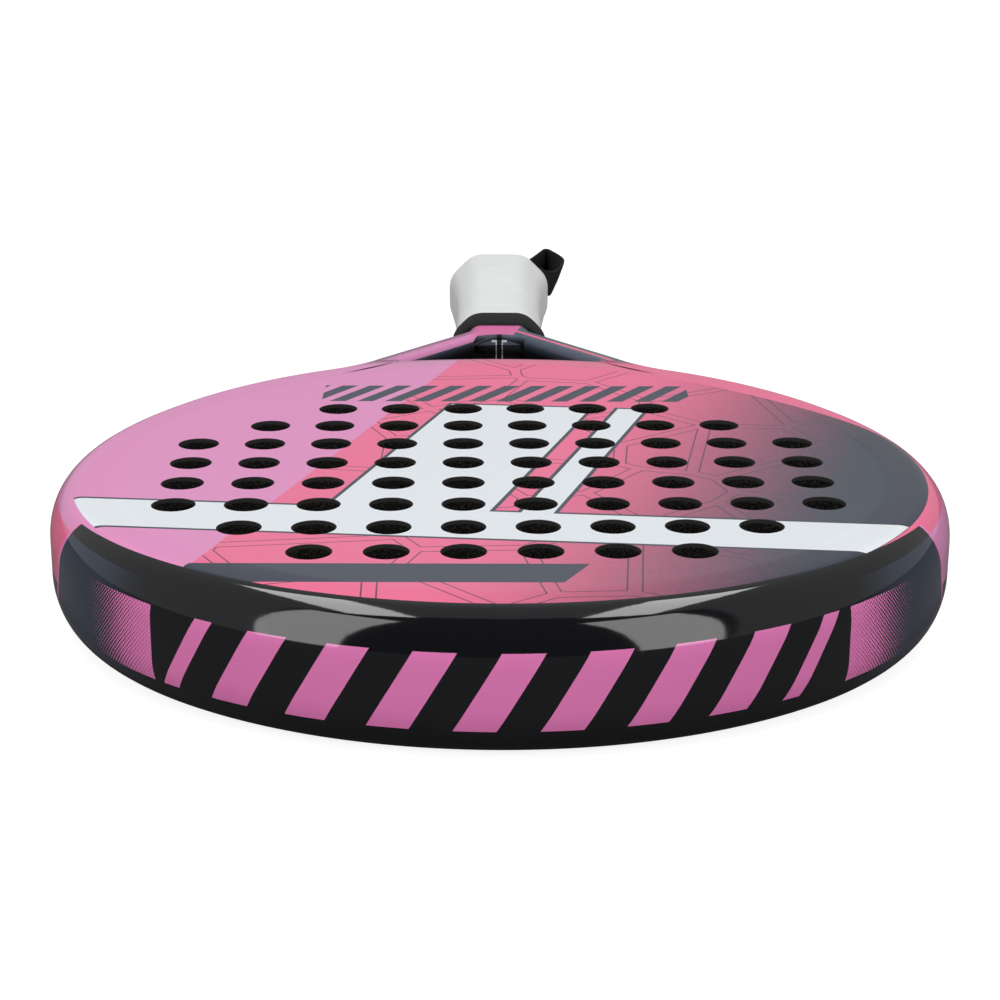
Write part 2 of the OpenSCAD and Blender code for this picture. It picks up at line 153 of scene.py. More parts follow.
def half_outline(step):
    """Outer edge of the right half, from the tip to the shoulder in front of the collar."""
    runs = (
        arc_stations(TIP_C, TIP_R, -pi / 2, TIP_TURN, False, step),
        arc_stations(SIDE_C, SIDE_R, TIP_TURN, 0, False, step),
        arc_stations(FLANK_C, FLANK_R, 0, HEEL_TURN, False, step),
        arc_stations(HEEL_C, HEEL_R, HEEL_TURN, HEEL_END, False, step),
        arc_stations(NECK_C, NECK_R, HEEL_END + pi, ARM_LEAN + pi, True, step),
        arm_stations(step),
        arc_stations(BEND_C, BEND_R, ARM_LEAN + pi, pi, True, step),
        [Station(Vector((STEM_HALF, SHOULDER_Y)), Vector((1, 0)))],
    )
    stations = [runs[0][0]]
    for run in runs:
        stations += [s for s in run if (s.point - stations[-1].point).length > SAME_PLACE]
    return stations


def arm_stations(step):
    """Stations along the straight outer edge of an arm."""
    count = ceil((ARM_END - ARM_START).length / step)
    return [Station(ARM_START.lerp(ARM_END, i / count), ARM_OUT) for i in range(count + 1)]


def inner_point(station):
    """Place on the frame's inner edge, across the tube from a station."""
    return station.point - TUBE_W * station.outward


OUTLINE_STEP = 2.5
HALF = half_outline(OUTLINE_STEP)
INNER = [inner_point(s) for s in HALF]
BRIDGE_C = Vector((0, THROAT_Y - BRIDGE_R))
YOKE_Y = BEND_Y - YOKE_LENGTH

# The yoke's front curves back from its corners at the arms, and its edges are finest in the middle;
# in the CAD model it is straight
YOKE_SAG = 4.0
YOKE_CORNER_Y = YOKE_Y - YOKE_SAG
YOKE_EDGE_R = 1.4


def ramp(value, start, end):
    """0 at start, 1 at end, smooth between."""
    f = min(max((value - start) / (end - start), 0.0), 1.0)
    return f * f * (3 - 2 * f)


def mix(a, b, f):
    return a + (b - a) * f


def half_thickness(y):
    """Half the frame's thickness, which falls from the head's to the shoulder's along the arms."""
    along_arm = (y - THROAT_Y) / (SHOULDER_Y - THROAT_Y)
    return mix(THICKNESS, SHOULDER_T, min(max(along_arm, 0.0), 1.0)) / 2


def edge_drop(run_in, radius=INNER_ROUND):
    """Height lost on a rounded edge, at a distance in from where the rounding starts."""
    run_in = min(max(run_in, 0.0), radius)
    return radius - sqrt(radius ** 2 - run_in ** 2)


def inner_edge_round(p):
    """Rounding of the arm's inner edge: none along the face and the yoke, full along the throat."""
    past_bridge = (p - BRIDGE_C).length - (BRIDGE_R - INNER_ROUND)
    before_yoke = YOKE_CORNER_Y + INNER_ROUND - p.y
    return min(edge_drop(past_bridge), edge_drop(before_yoke))


def crossing(radius):
    """Point where a circle round the bridge's centre meets the arm's inner edge."""
    for before, after in zip(INNER, INNER[1:]):
        near, far = (before - BRIDGE_C).length, (after - BRIDGE_C).length
        if before.y > WIDEST_Y and near < radius <= far:
            return before.lerp(after, (radius - near) / (far - near))
    raise ValueError("the circle doesn't meet the arm")


def inner_x(y):
    """Distance of the arm's inner edge from the axis, in the throat."""
    for before, after in zip(INNER, INNER[1:]):
        if before.y > THROAT_Y and before.y <= y <= after.y:
            return mix(before.x, after.x, (y - before.y) / (after.y - before.y))
    return INNER[-1].x


# Mesh helpers

SAME_VERTEX = 0.5e-6
UP = Vector((0, 0, 1))


def add_object(name, data):
    """Object in the scene for a mesh, a lamp or a camera."""
    thing = bpy.data.objects.new(name, data)
    bpy.context.collection.objects.link(thing)
    return thing


def add_piece(name, mesh, materials, node, body="racket", sharp=35, face_material=None):
    """Piece that stands for a CAD node, smooth but for edges sharper than an angle in degrees.

    The mesh is given as points and faces, and face_material as one index into the materials per face.
    """
    verts, faces = mesh
    data = bpy.data.meshes.new(name)
    data.from_pydata([Vector(v) * MM for v in verts], [], faces)
    bm = bmesh.new()
    bm.from_mesh(data)
    if face_material:
        bm.faces.ensure_lookup_table()
        for face, index in zip(bm.faces, face_material):
            face.material_index = index
    bmesh.ops.remove_doubles(bm, verts=bm.verts, dist=SAME_VERTEX)
    bmesh.ops.recalc_face_normals(bm, faces=bm.faces)
    for face in bm.faces:
        face.smooth = True
    for edge in bm.edges:
        if len(edge.link_faces) == 2:
            edge.smooth = edge.calc_face_angle(0) < radians(sharp)
    bm.to_mesh(data)
    bm.free()
    for material in materials:
        data.materials.append(material)
    piece = add_object(name, data)
    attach(piece, body)
    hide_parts(node)
    return piece


def loft(rings, closed=True, capped=False):
    """Points and faces through a list of rings of equal length."""
    n = len(rings[0])
    verts = [p for ring in rings for p in ring]
    faces = []
    for i in range(len(rings) - 1):
        for k in range(n if closed else n - 1):
            a, b = i * n + k, i * n + (k + 1) % n
            faces.append((a, b, b + n, a + n))
    if capped:
        faces.append(tuple(reversed(range(n))))
        faces.append(tuple(range((len(rings) - 1) * n, len(rings) * n)))
    return verts, faces


def join(meshes):
    """Points and faces of several meshes as one."""
    verts, faces = [], []
    for more_verts, more_faces in meshes:
        faces += [tuple(len(verts) + i for i in face) for face in more_faces]
        verts += more_verts
    return verts, faces


def quarter_turn(steps):
    return [pi / 2 * i / steps for i in range(steps + 1)]


def sign_power(value, power):
    return (1 if value >= 0 else -1) * abs(value) ** power


def soft_box(half_w, half_h, power_w, power_h, count, start=0.0):
    """Closed outline that is an ellipse at powers of 1 and nears a rectangle towards 0."""
    points = []
    for i in range(count):
        a = 2 * pi * i / count + start
        points.append((half_w * sign_power(cos(a), power_w), half_h * sign_power(sin(a), power_h)))
    return points


# Node materials


def tone(r, g, b):
    """Linear colour of a screen colour given as 0 to 255."""
    def linear(c):
        c /= 255
        return c / 12.92 if c <= 0.04045 else ((c + 0.055) / 1.055) ** 2.4
    return (linear(r), linear(g), linear(b), 1.0)


class Field:
    """A number that varies over a surface, with arithmetic that adds math nodes."""

    def __init__(self, tree, socket):
        self.tree = tree
        self.socket = socket

    def _math(self, operation, *values):
        node = self.tree.nodes.new("ShaderNodeMath")
        node.operation = operation
        for socket, value in zip(node.inputs, (self,) + values):
            self.tree.feed(socket, value)
        return Field(self.tree, node.outputs[0])

    def __add__(self, other):
        return self._math("ADD", other)

    def __sub__(self, other):
        return self._math("SUBTRACT", other)

    def __mul__(self, other):
        return self._math("MULTIPLY", other)

    def __truediv__(self, other):
        return self._math("DIVIDE", other)

    def __neg__(self):
        return self * -1.0

    def size(self):
        return self._math("ABSOLUTE")

    def below(self, limit):
        return self._math("LESS_THAN", limit)

    def above(self, limit):
        return self._math("GREATER_THAN", limit)

    def either(self, other):
        return self._math("MAXIMUM", other)

    def held(self):
        """Held between 0 and 1."""
        return self._math("MAXIMUM", 0.0)._math("MINIMUM", 1.0)

    def pick(self, inside, outside):
        """One field where this mask is 1, another where it is 0."""
        return (inside - outside) * self + outside

    def repeat(self, pitch):
        """Distance from the middle of the nearest of evenly spaced places."""
        cycle = (self / pitch + 0.5)._math("FRACT")
        return (cycle - 0.5).size() * pitch

    def ramp(self, start, end):
        """0 at start, 1 at end, smooth between."""
        node = self.tree.node("MapRange", Value=self, From_Min=start, From_Max=end)
        node.interpolation_type = "SMOOTHSTEP"
        return Field(self.tree, node.outputs["Result"])

    def angle_to(self, other):
        return self._math("ARCTAN2", other)

    def length_with(self, other):
        return (self * self + other * other)._math("SQRT")


class NodeTree:
    """Nodes of a material or a world."""

    def __init__(self, tree):
        self.nodes = tree.nodes
        self.links = tree.links

    def feed(self, socket, value):
        """Set a node's input to a number or a colour, or link it to a field or a node's output."""
        if isinstance(value, Field):
            value = value.socket
        if isinstance(value, bpy.types.NodeSocket):
            self.links.new(value, socket)
        else:
            socket.default_value = value

    def fill(self, node, **inputs):
        """Feed some of a node's inputs; an underscore stands for a space in their names."""
        for name, value in inputs.items():
            self.feed(node.inputs[name.replace("_", " ")], value)
        return node

    def node(self, kind, **inputs):
        return self.fill(self.nodes.new("ShaderNode" + kind), **inputs)

    def split(self, vector):
        parts = self.node("SeparateXYZ", Vector=vector)
        return [Field(self, socket) for socket in parts.outputs]

    def rays(self, kind):
        """1 for rays of a kind, such as Camera, and 0 for all others."""
        return Field(self, self.node("LightPath").outputs[f"Is {kind} Ray"])


class Shader(NodeTree):
    """One node material."""

    def __init__(self, name):
        self.material = bpy.data.materials.new(name)
        self.material.use_nodes = True
        super().__init__(self.material.node_tree)
        self.surface = self.nodes["Principled BSDF"]
        coords = self.node("TexCoord").outputs
        scaled = self.node("VectorMath", Vector=coords["Object"])
        scaled.operation = "SCALE"
        scaled.inputs["Scale"].default_value = 1 / MM
        self.place = scaled.outputs[0]
        self.uv = coords["UV"]

    def axes(self):
        """Place on the part along X, Y and Z, in millimetres."""
        return self.split(self.place)

    def uv_axes(self):
        """The two coordinates of the UV map."""
        return self.split(self.uv)[:2]

    def noise(self, grain, detail=3.0):
        """Soft noise from 0 to 1 with grains of a size in millimetres."""
        node = self.node("TexNoise", Vector=self.place, Scale=1 / grain, Detail=detail)
        return Field(self, node.outputs["Fac"])

    def cells(self, grain, feature="F1", flat=False):
        """Distance field of irregular cells of a size in millimetres, in grains."""
        node = self.node("TexVoronoi", Vector=self.place, Scale=1 / grain)
        node.feature = feature
        node.voronoi_dimensions = "2D" if flat else "3D"
        return Field(self, node.outputs["Distance"])

    def blend(self, share, under, over):
        node = self.nodes.new("ShaderNodeMix")
        node.data_type = "RGBA"
        self.fill(node, Factor=share, A=under, B=over)
        return node.outputs["Result"]

    def bump(self, height, depth):
        """Surface relief; depth is in millimetres."""
        node = self.node("Bump", Height=height, Distance=depth * MM)
        self.set(Normal=node.outputs["Normal"])

    def set(self, **inputs):
        """Feed some of the surface's inputs and return the material."""
        self.fill(self.surface, **inputs)
        return self.material


ORCHID = tone(221, 139, 189)
CORAL = tone(235, 104, 145)
SLATE = tone(42, 50, 66)
BLACK = tone(14, 15, 18)
PRINT_WHITE = tone(226, 231, 236)
MAGENTA = tone(234, 127, 189)
LINE = tone(86, 36, 58)
# Slate lightened as painted light: on the inner walls of the throat, and as painted sheen on the right arm
SLATE_WITH_PAINTED_LIGHT = tone(80, 88, 104)
# Grey of the painted highlights on the edges of the yoke's slit
SLIT_HIGHLIGHT_GREY = tone(170, 172, 176)
# Grey blended into the matt faces as painted sheen
PAINTED_SHEEN_GREY = tone(157, 159, 162)
YOKE_PINK = tone(212, 104, 160)

# Finish of the lacquer: matt inside the rim of a face, where a grey blended in is painted sheen, duller in
# the throat
MATT_START = TUBE_W + 0.5
MATT_END = TUBE_W + 6.5
PAINTED_SHEEN_SHARE = 0.24
THROAT_DULL = 0.33


def lacquer(name, paint):
    """Clear gloss over a print, duller in the throat, and matt on the faces, where a grey blended into the
    print is painted sheen in place of a reflection.
    """
    shader = Shader(name)
    shader.bump(shader.noise(4.0, 1.0), 0.012)
    grain = shader.noise(0.8)
    x, y, _ = shader.axes()
    dull = y.ramp(THROAT_Y, YOKE_Y)
    matt = edge_depth(x, y).ramp(MATT_START, MATT_END)
    shine = -(dull * THROAT_DULL).either(matt) + 1.0
    # A reflection at a low angle stays strong until its level is near 0, so the cube lets it fade evenly
    return shader.set(
        # The grey blended into the print of the matt faces is painted sheen
        Base_Color=shader.blend(matt * PAINTED_SHEEN_SHARE, paint(shader), PAINTED_SHEEN_GREY),
        Roughness=grain * 0.03 + 0.05 + dull * 0.3,
        Specular_IOR_Level=shine * shine * shine * 0.5,
        IOR=1.6,
    )


def edge_depth(x, y):
    """Distance in from the outer edge of the head."""
    beside = x.size()
    tip = -x.length_with(y - TIP_C.y) + TIP_R
    side = -(beside - SIDE_C.x).length_with(y - WIDEST_Y) + SIDE_R
    flank = -(beside - FLANK_C.x).length_with(y - WIDEST_Y) + FLANK_R
    at_tip = beside.angle_to(-y + TIP_C.y).below(TIP_TURN + pi / 2)
    return at_tip.pick(tip, y.below(WIDEST_Y).pick(side, flank))


def band(field, span, border=0.0):
    """Mask of where a field lies in a span, which a border widens at both ends."""
    start, end = span
    return field.above(start - border) * field.below(end + border)


# Print of the faces: spans lie along X, along Y or across a slanted line
FIELD_SKEW = 0.3
ORCHID_END = -22.6
SLATE_FADE = (40.0, 138.0)
STREAK_GRAIN = 1.1
STREAK_REACH = 16.0
CELL = 34.0
CELL_LINE = (1.68, 2.12)
WIDE_STRIPE = (-6.0, 40.0)
THIN_STRIPE = (49.0, 58.0)
STRIPES_Y = (-167.0, -33.0)
SASH_Y = (-167.0, -144.0)
SASH_TILT = 0.1
STRIPE_OUTLINE = 1.3
HASH_SLANT = 0.6
HASH_PITCH = 9.0
HASH_HALF = 2.6
HASHES_X = (-58.0, 62.0)
HASHES_Y = (-28.0, -8.0)
BLOCK_SLANT = 0.5
BLOCK_X = (14.0, 116.0)
BLOCK_Y = (-200.5, -186.6)


def face_colours(shader, x, y, depth):
    """Orchid, coral and slate fields with thin lines, white stripes, a row of bars and a block."""
    skew = x - y * FIELD_SKEW
    seam = shader.cells(CELL, "DISTANCE_TO_EDGE", flat=True) * CELL
    colour = shader.blend(band(seam, CELL_LINE) * 0.9, CORAL, LINE)
    streaks = (shader.noise(STREAK_GRAIN) - 0.5) * STREAK_REACH
    colour = shader.blend((skew + streaks).ramp(*SLATE_FADE), colour, SLATE)
    colour = shader.blend(skew.below(ORCHID_END), colour, ORCHID)
    colour = white_stripes(shader, colour, skew, y + x * SASH_TILT, depth)
    hashes = (x - y * HASH_SLANT).repeat(HASH_PITCH).below(HASH_HALF)
    colour = shader.blend(hashes * band(y, HASHES_Y) * band(x, HASHES_X), colour, SLATE)
    block = band(y, BLOCK_Y) * band(x - y * BLOCK_SLANT, BLOCK_X)
    return shader.blend(block, colour, SLATE)


def white_stripes(shader, colour, slanted, level, depth):
    """White stripes along the racket and one sash across its face, outlined in slate."""
    for paint, border in ((SLATE, STRIPE_OUTLINE), (PRINT_WHITE, 0.0)):
        stripes = band(slanted, WIDE_STRIPE, border).either(band(slanted, THIN_STRIPE, border))
        along_face = stripes * band(level, STRIPES_Y, border)
        sash = band(level, SASH_Y, border) * depth.above(RIM_ROUND_W)
        colour = shader.blend(along_face.either(sash), colour, paint)
    return colour


# Print of the rim: runs go round it from the tip, levels are heights above the middle
RIM_R = 126.0
RIM_BAR_PITCH = 22.0
RIM_BAR_HALF = 5.5
RIM_BAR_SLANT = 0.6
RIM_BARS_END = 88.0
DOT_PITCH = 1.2
DOT_SHARE = 0.85
DOTS_START = 98.0
DOTS_FADE = (134.0, 94.0)
RIM_PRINT_LEVELS = (-11.0, 9.5)
GROUND_FADE = (100.0, 125.0)
GROUND_Z = (4.0, 34.0)


def rim_bars(run, z):
    """Slanted bars round the tip, between two fields of fine dots that fade out."""
    level = z - MID_Z
    slant = run - level * RIM_BAR_SLANT
    bars = slant.repeat(RIM_BAR_PITCH).below(RIM_BAR_HALF) * slant.size().below(RIM_BARS_END)
    dots = ((run + z).repeat(DOT_PITCH) + (run - z).repeat(DOT_PITCH)) / DOT_PITCH
    strength = run.size().ramp(*DOTS_FADE) * DOT_SHARE * run.size().above(DOTS_START)
    return bars.either(dots.below(strength)) * band(level, RIM_PRINT_LEVELS)


def tip_colours(shader, x, y, z):
    """Black round the tip that turns slate at its ends, with the bars and dots on it."""
    run = x.angle_to(-y + WIDEST_Y) * RIM_R
    ends = run.size().ramp(*GROUND_FADE) * band(z, GROUND_Z)
    return shader.blend(rim_bars(run, z), shader.blend(ends, BLACK, SLATE), MAGENTA)


# Border round the tip: its width falls with the square of the angle from the tip
BORDER_W = 9.5
BORDER_TAPER = 3.0
BORDER_TURN = radians(66)
BORDER_END_LEAN = 0.0035
BORDER_LINE = (-0.012, 0.0)


def tip_border(x, y, z, depth):
    """Masks of the border round the tip, with the rim below it, and of a thin line along its ends."""
    around = x.angle_to(-y + WIDEST_Y).size()
    width = around * around * -BORDER_TAPER + BORDER_W
    left = (-z + THICKNESS) * BORDER_END_LEAN + BORDER_TURN - around
    inside = depth.below(width)
    return inside * left.above(0.0), inside * band(left, BORDER_LINE)


# Sides of the head, and painted shade along the edge of its bridge
STRIP_W = 6.8
STRIP_GROWTH = 10.0
STRIP_GROWS_Y = (-85.0, -10.0)
RIM_Z = (2.5, 34.0)
RIM_SPLIT_Z = 17.0
THROAT_SHADE_W = 6.0


def head_colours(shader, x, y, z):
    """Print of the faces and the rim, with a coral strip along the right edge and painted shade along the
    bridge's edge.
    """
    depth = edge_depth(x, y)
    on_right = x.above(0.0)
    strip_w = y.ramp(*STRIP_GROWS_Y) * STRIP_GROWTH + STRIP_W
    strip = (depth - strip_w).below(0.0) * on_right
    colour = shader.blend(strip, face_colours(shader, x, y, depth), CORAL)
    rim = shader.blend(z.below(RIM_SPLIT_Z), shader.blend(on_right, CORAL, ORCHID), SLATE)
    colour = shader.blend(band(z, RIM_Z) * depth.below(RIM_ROUND_W), colour, rim)
    # Painted shade: slate blended in along the bridge's edge towards the throat
    painted_throat_shade = x.length_with(y - BRIDGE_C.y).ramp(BRIDGE_R - THROAT_SHADE_W, BRIDGE_R) * y.above(0.0)
    colour = shader.blend(painted_throat_shade * 0.7, colour, SLATE)
    border, border_line = tip_border(x, y, z, depth)
    colour = shader.blend(border_line, colour, MAGENTA)
    return shader.blend(border, colour, tip_colours(shader, x, y, z))


# Print of the throat, with painted light on its inner walls: depths go in from an arm's outer edge, rises
# are distances from mid height
ARM_SHADE = (9.8, 8.0)
CORAL_LINE = (8.7, 10.3)
WALL_DEPTH = TUBE_W - 0.3
WALL_LIT = (12.5, 18.0)
YOKE_LIT = (15.5, 18.0)
WALL_LIGHT_X = (-12.0, 12.0)
FRONT_MARGIN = 1.0
# Sizes of the painted highlights on the edges of the yoke's slit
SLIT_LINE = (0.9, 1.3)
SLIT_BAR = (0.9, 2.8)
SLIT_BAR_RISE = (15.7, 16.2)
ROOF_FADE = (-13.0, -6.5)
ROOF_END = 5.0
ROOF_SLANT = 0.2


def arm_colours(shader, x, y, z):
    """Left arm orchid, more slate towards its outer edge; right arm slate lightened as painted sheen, with
    a coral line; inner walls black below, with painted light near their edges; pink over the yoke.
    """
    depth = -(x.size() * ARM_OUT.x + y * ARM_OUT.y) + ARM_START.dot(ARM_OUT)
    rise = (z - MID_Z).size()
    on_right = x.above(0.0)
    left = shader.blend(depth.ramp(*ARM_SHADE) * 0.5 + 0.12, ORCHID, SLATE)
    # The right arm's slate is lightened as painted sheen
    right = shader.blend(band(depth, CORAL_LINE), SLATE_WITH_PAINTED_LIGHT, CORAL)
    colour = shader.blend(on_right, left, right)
    behind_front = yoke_depth(x, y)
    before_roof = behind_front.below(YOKE_EDGE_R).either(y.below(YOKE_CORNER_Y))
    # The right wall starts 1 mm further out than the left one
    on_wall = depth.above(-on_right + WALL_DEPTH) * before_roof
    colour = shader.blend(on_wall, colour, wall_colours(shader, x, y, rise, behind_front))
    # Painted highlights on the edges of the yoke's slit
    colour = shader.blend(slit_highlights(x, rise) * behind_front.below(FRONT_MARGIN), colour, SLIT_HIGHLIGHT_GREY)
    roof_side = x - y * ROOF_SLANT + YOKE_Y * ROOF_SLANT
    roof = x.ramp(*ROOF_FADE) * roof_side.below(ROOF_END)
    on_roof = behind_front.above(YOKE_EDGE_R) * y.above(YOKE_CORNER_Y)
    return shader.blend(roof * on_roof, colour, YOKE_PINK)


def wall_colours(shader, x, y, rise, behind_front):
    """Black inner walls of the throat, with painted light in a lighter slate near their upper and lower
    edges, more so on the right.
    """
    on_yoke = behind_front.above(-FRONT_MARGIN) * y.above(YOKE_CORNER_Y)
    lit = on_yoke.pick(rise.ramp(*YOKE_LIT), rise.ramp(*WALL_LIT)) * x.size().above(SLIT_W / 2)
    return shader.blend(lit * (x.ramp(*WALL_LIGHT_X) * 0.4 + 0.6), BLACK, SLATE_WITH_PAINTED_LIGHT)


def slit_highlights(x, rise):
    """Painted highlights on the edges of the yoke's slit: thin lines, with a short bar across their ends.
    """
    beside = x.size()
    bar_start, bar_end = SLIT_BAR_RISE
    bars = band(beside, SLIT_BAR) * rise.above(bar_start)
    return band(beside, SLIT_LINE).either(bars) * rise.below(bar_end)


def yoke_depth(x, y):
    """Distance behind the curved front of the yoke."""
    side = x / inner_x(YOKE_CORNER_Y)
    return y - YOKE_Y + side * side * YOKE_SAG


def racket_print_and_painted_light(shader):
    """Print of the whole lacquered body: head, arms and yoke, with painted light, painted shade and painted
    highlights in it.
    """
    x, y, z = shader.axes()
    past_bridge = x.length_with(y - BRIDGE_C.y).above(BRIDGE_R) * y.above(0.0)
    return shader.blend(past_bridge, head_colours(shader, x, y, z), arm_colours(shader, x, y, z))


def foam():
    """Dark porous foam, as the drilled holes show it."""
    shader = Shader("drilled_foam")
    pores = shader.cells(0.9)
    specks = shader.noise(0.5, 2.0)
    shader.bump(pores + specks, 0.5)
    colour = shader.blend(specks.ramp(0.45, 0.75), tone(16, 16, 16), tone(62, 58, 52))
    return shader.set(Base_Color=colour, Roughness=0.95, Specular_IOR_Level=0.2)


def wrap_white():
    """White wrap with a fine grain and soft, broad shades."""
    shader = Shader("overgrip_white")
    shader.bump(shader.noise(0.35, 2.0), 0.03)
    colour = shader.blend(shader.noise(9.0), tone(219, 221, 219), tone(229, 231, 230))
    return shader.set(Base_Color=colour, Roughness=0.55, Specular_IOR_Level=0.3)


RIB_PITCH = 2.0
WEFT_PITCH = 0.9
WARP_PITCH = 0.6


def webbing():
    """Black woven strap: the UV map runs along and across it in millimetres."""
    shader = Shader("strap_webbing")
    along, across = shader.uv_axes()
    weft = (along + across.repeat(RIB_PITCH) * 0.8).repeat(WEFT_PITCH) / (WEFT_PITCH / 2)
    warp = across.repeat(WARP_PITCH) / (WARP_PITCH / 2)
    weave = weft * 0.7 + warp * 0.3
    shader.bump(weave, 0.18)
    colour = shader.blend(weave, tone(33, 34, 36), tone(16, 17, 18))
    return shader.set(Base_Color=colour, Roughness=0.85, Specular_IOR_Level=0.25)


def grainy(name, dark, light, grain_size=0.5, relief=0.04, **inputs):
    """Two tones mixed by a fine grain, which also roughens the surface."""
    shader = Shader(name)
    grain = shader.noise(grain_size)
    shader.bump(grain, relief)
    return shader.set(Base_Color=shader.blend(grain, tone(*dark), tone(*light)), **inputs)


def rubber(name, dark, light):
    return grainy(name, dark, light, relief=0.05, Roughness=0.65, Specular_IOR_Level=0.2)


LACQUER = lacquer("printed_lacquer_with_painted_light", racket_print_and_painted_light)
CUT_EDGE = grainy("cut_composite_edge", (12, 12, 13), (50, 48, 46), 0.4, 0.1, Roughness=0.8)
FOAM = foam()
WHITE_WRAP = wrap_white()
COLLAR_RUBBER = rubber("collar_rubber", (15, 16, 17), (22, 23, 24))
CAP_PLASTIC = rubber("cap_plastic", (24, 24, 26), (34, 34, 36))
KEEPER_PLASTIC = rubber("keeper_plastic", (18, 18, 19), (28, 28, 30))
WEBBING = webbing()

# Materials of the CAD nodes that show as they are
NODE_MATERIALS = {
    "stem_spacer": FOAM,
    "stem_plugs": grainy("plug_foam", (186, 176, 148), (214, 206, 182), 1.2, Roughness=0.9),
    "butt_staples": grainy(
        "staple_steel", (165, 167, 170), (196, 198, 200), 0.3, Roughness=0.3, Metallic=1.0
    ),
    "base_grip": rubber("base_grip", (36, 36, 38), (50, 50, 53)),
    "finishing_tape": grainy("finishing_tape", (20, 20, 20), (30, 30, 30), 2.0, Roughness=0.45),
    "strap_anchor": grainy("anchor_webbing", (12, 12, 13), (28, 28, 30), 0.8, Roughness=0.85),
    "foam_core": FOAM,
}


# Lacquered frame, faces, bridge and yoke

ROUND_STEPS = 14
INNER_STEPS = 5
STEM_POWER = 1.6

# The rim's outer rounding is wider round the head than in the CAD model, and narrows before the throat
HEAD_ROUND_W = 9.5
ROUND_NARROWS_Y = (-40.0, 30.0)


def tube_profile(inner_r, round_w, round_h, power=1.0):
    """Upper half of a tube's section: (depth from the outer edge, drop from the top), from inside out.

    The outer rounding is elliptic at a power of 1 and flatter above that.
    """
    upper = []
    for a in quarter_turn(INNER_STEPS):
        upper.append((TUBE_W - inner_r * (1 - cos(a)), inner_r * (1 - sin(a))))
    for a in reversed(quarter_turn(ROUND_STEPS)):
        upper.append((round_w * (1 - cos(a) ** power), round_h * (1 - sin(a) ** power)))
    return upper


def closed_ring(station, side, upper, half_t):
    """Section at a station from its upper half; side mirrors it across the racket's axis."""
    ring = []
    for half, points in ((1, upper), (-1, reversed(upper))):
        for depth, drop in points:
            p = station.point - depth * station.outward
            ring.append((side * p.x, p.y, MID_Z + half * (half_t(p.y) - drop)))
    return ring


def tube_ring(station, side):
    """Ring of the frame, whose outer rounding is wider round the head than on the arms."""
    round_w = mix(HEAD_ROUND_W, RIM_ROUND_W, ramp(station.point.y, *ROUND_NARROWS_Y))
    upper = tube_profile(inner_edge_round(inner_point(station)), round_w, RIM_ROUND_H)
    return closed_ring(station, side, upper, half_thickness)


def stem_ring(y, side):
    """Ring of a stem in the handle, with bevelled outer edges."""
    station = Station(Vector((STEM_HALF, y)), Vector((1, 0)))
    upper = tube_profile(0.0, HANDLE_BEVEL, HANDLE_BEVEL, STEM_POWER)
    return closed_ring(station, side, upper, lambda _: STEM_T / 2)


def build_frame():
    """Tube from the left stem round the head to the right stem."""
    rings = []
    for side in (-1, 1):
        arm = [tube_ring(s, side) for s in HALF] + [stem_ring(y, side) for y in (SHOULDER_Y, STEM_END_Y)]
        rings += reversed(arm) if side < 0 else arm[1:]
    add_piece("frame_tube_shell", loft(rings), [LACQUER], "frame_tube")


BRIDGE_COLUMNS = 48


def bridge_row(radius):
    """Points across the bridge on a circle round its centre, from arm to arm."""
    end = crossing(radius) - BRIDGE_C
    reach = atan2(end.x, end.y)
    row = []
    for i in range(BRIDGE_COLUMNS + 1):
        a = reach * (2 * i / BRIDGE_COLUMNS - 1)
        row.append(BRIDGE_C + radius * Vector((sin(a), cos(a))))
    return row


def build_bridge():
    """Crosspiece of the head, flush with the faces and rounded towards the throat."""
    upper = [(BRIDGE_R - TUBE_W, 0.0)]
    for a in quarter_turn(INNER_STEPS):
        upper.append((BRIDGE_R - INNER_ROUND * (1 - sin(a)), INNER_ROUND * (1 - cos(a))))
    rings = []
    for half, points in ((1, upper), (-1, list(reversed(upper)))):
        for radius, drop in points:
            rings.append([(p.x, p.y, MID_Z + half * (MID_Z - drop)) for p in bridge_row(radius)])
    add_piece("throat_bridge_shell", loft(rings, closed=False), [LACQUER], "throat_bridge")


def hole_centres():
    """Plan places of the drilled holes, row by row from the throat to the tip."""
    turn = Matrix.Rotation(HOLES_TURN, 2)
    for row, count in enumerate(HOLE_ROWS):
        y = HOLE_PITCH * ((len(HOLE_ROWS) - 1) / 2 - row)
        for i in range(count):
            yield Vector((HOLES_X, HOLES_Y)) + turn @ Vector((HOLE_PITCH * (i - (count - 1) / 2), y))


def face_border():
    """Edge of a face sheet: the frame's inner edge and the bridge's inner arc."""
    radius = BRIDGE_R - TUBE_W
    right = [p for p in INNER if (p - BRIDGE_C).length < radius]
    far = list(reversed(bridge_row(radius)))
    left = [Vector((-p.x, p.y)) for p in reversed(right[1:])]
    return right + far + left


HOLE_SIDES = 48
HOLE_EASE = 0.12


def hole_ring(centre, radius):
    return [centre + radius * direction(2 * pi * i / HOLE_SIDES) for i in range(HOLE_SIDES)]


def drilled_sheet():
    """Plan points and triangles of a face sheet between its border and its holes."""
    centres = list(hole_centres())
    loops = [face_border()] + [hole_ring(c, HOLE_R + HOLE_EASE) for c in centres]
    points = [p for loop in loops for p in loop]
    edges = []
    for loop in loops:
        first = len(edges)
        edges += [(first + i, first + (i + 1) % len(loop)) for i in range(len(loop))]
    inside_border, tolerance = 1, 1e-6
    plan, _, triangles, *_ = delaunay_2d_cdt(points, edges, [], inside_border, tolerance)
    solid = []
    for corners in triangles:
        middle = sum((plan[i] for i in corners), Vector((0, 0))) / 3
        if all((middle - c).length > HOLE_R + HOLE_EASE for c in centres):
            solid.append(tuple(corners))
    return plan, solid


